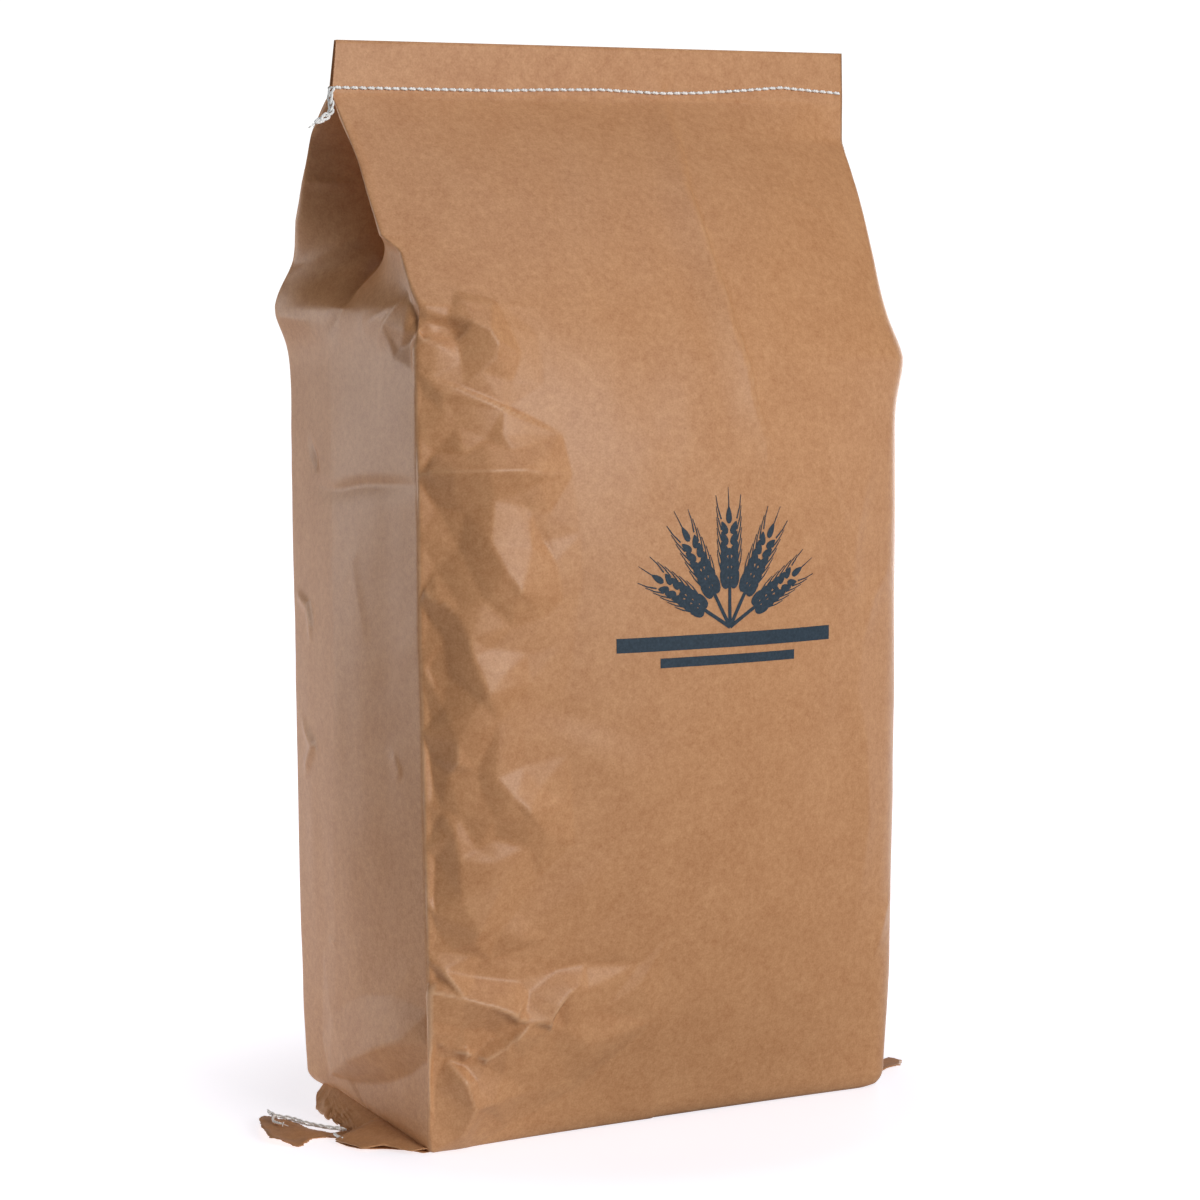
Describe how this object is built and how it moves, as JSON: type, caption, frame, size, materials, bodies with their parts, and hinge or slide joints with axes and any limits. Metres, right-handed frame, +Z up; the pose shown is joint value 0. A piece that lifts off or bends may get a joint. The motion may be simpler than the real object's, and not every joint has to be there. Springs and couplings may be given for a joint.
{
  "type": "bag of rye grain",
  "caption": "Full kraft paper sack of rye grain, gusseted, sewn shut across its flat mouth, standing on its folded base with torn seam ends at both sides.",
  "frame": {"origin": "middle of the filled sack's footprint, on the surface that it stands on", "axes": "+Z up to the sewn mouth, +X along the width to the right as seen from the printed front, +Y to the back"},
  "size_m": [0.465, 0.224, 0.6837],
  "materials": {
    "kraft_paper": "natural brown kraft paper, calendered on the outside to a slight sheen, with pale fibre flecks, soft creases and scuffs",
    "sewing_thread": "white twisted spun thread in chain stitches"
  },
  "bodies": {
    "root": {"sack": "kraft_paper", "closing_thread": "sewing_thread", "base_thread": "sewing_thread"}
  },
  "joints": []
}
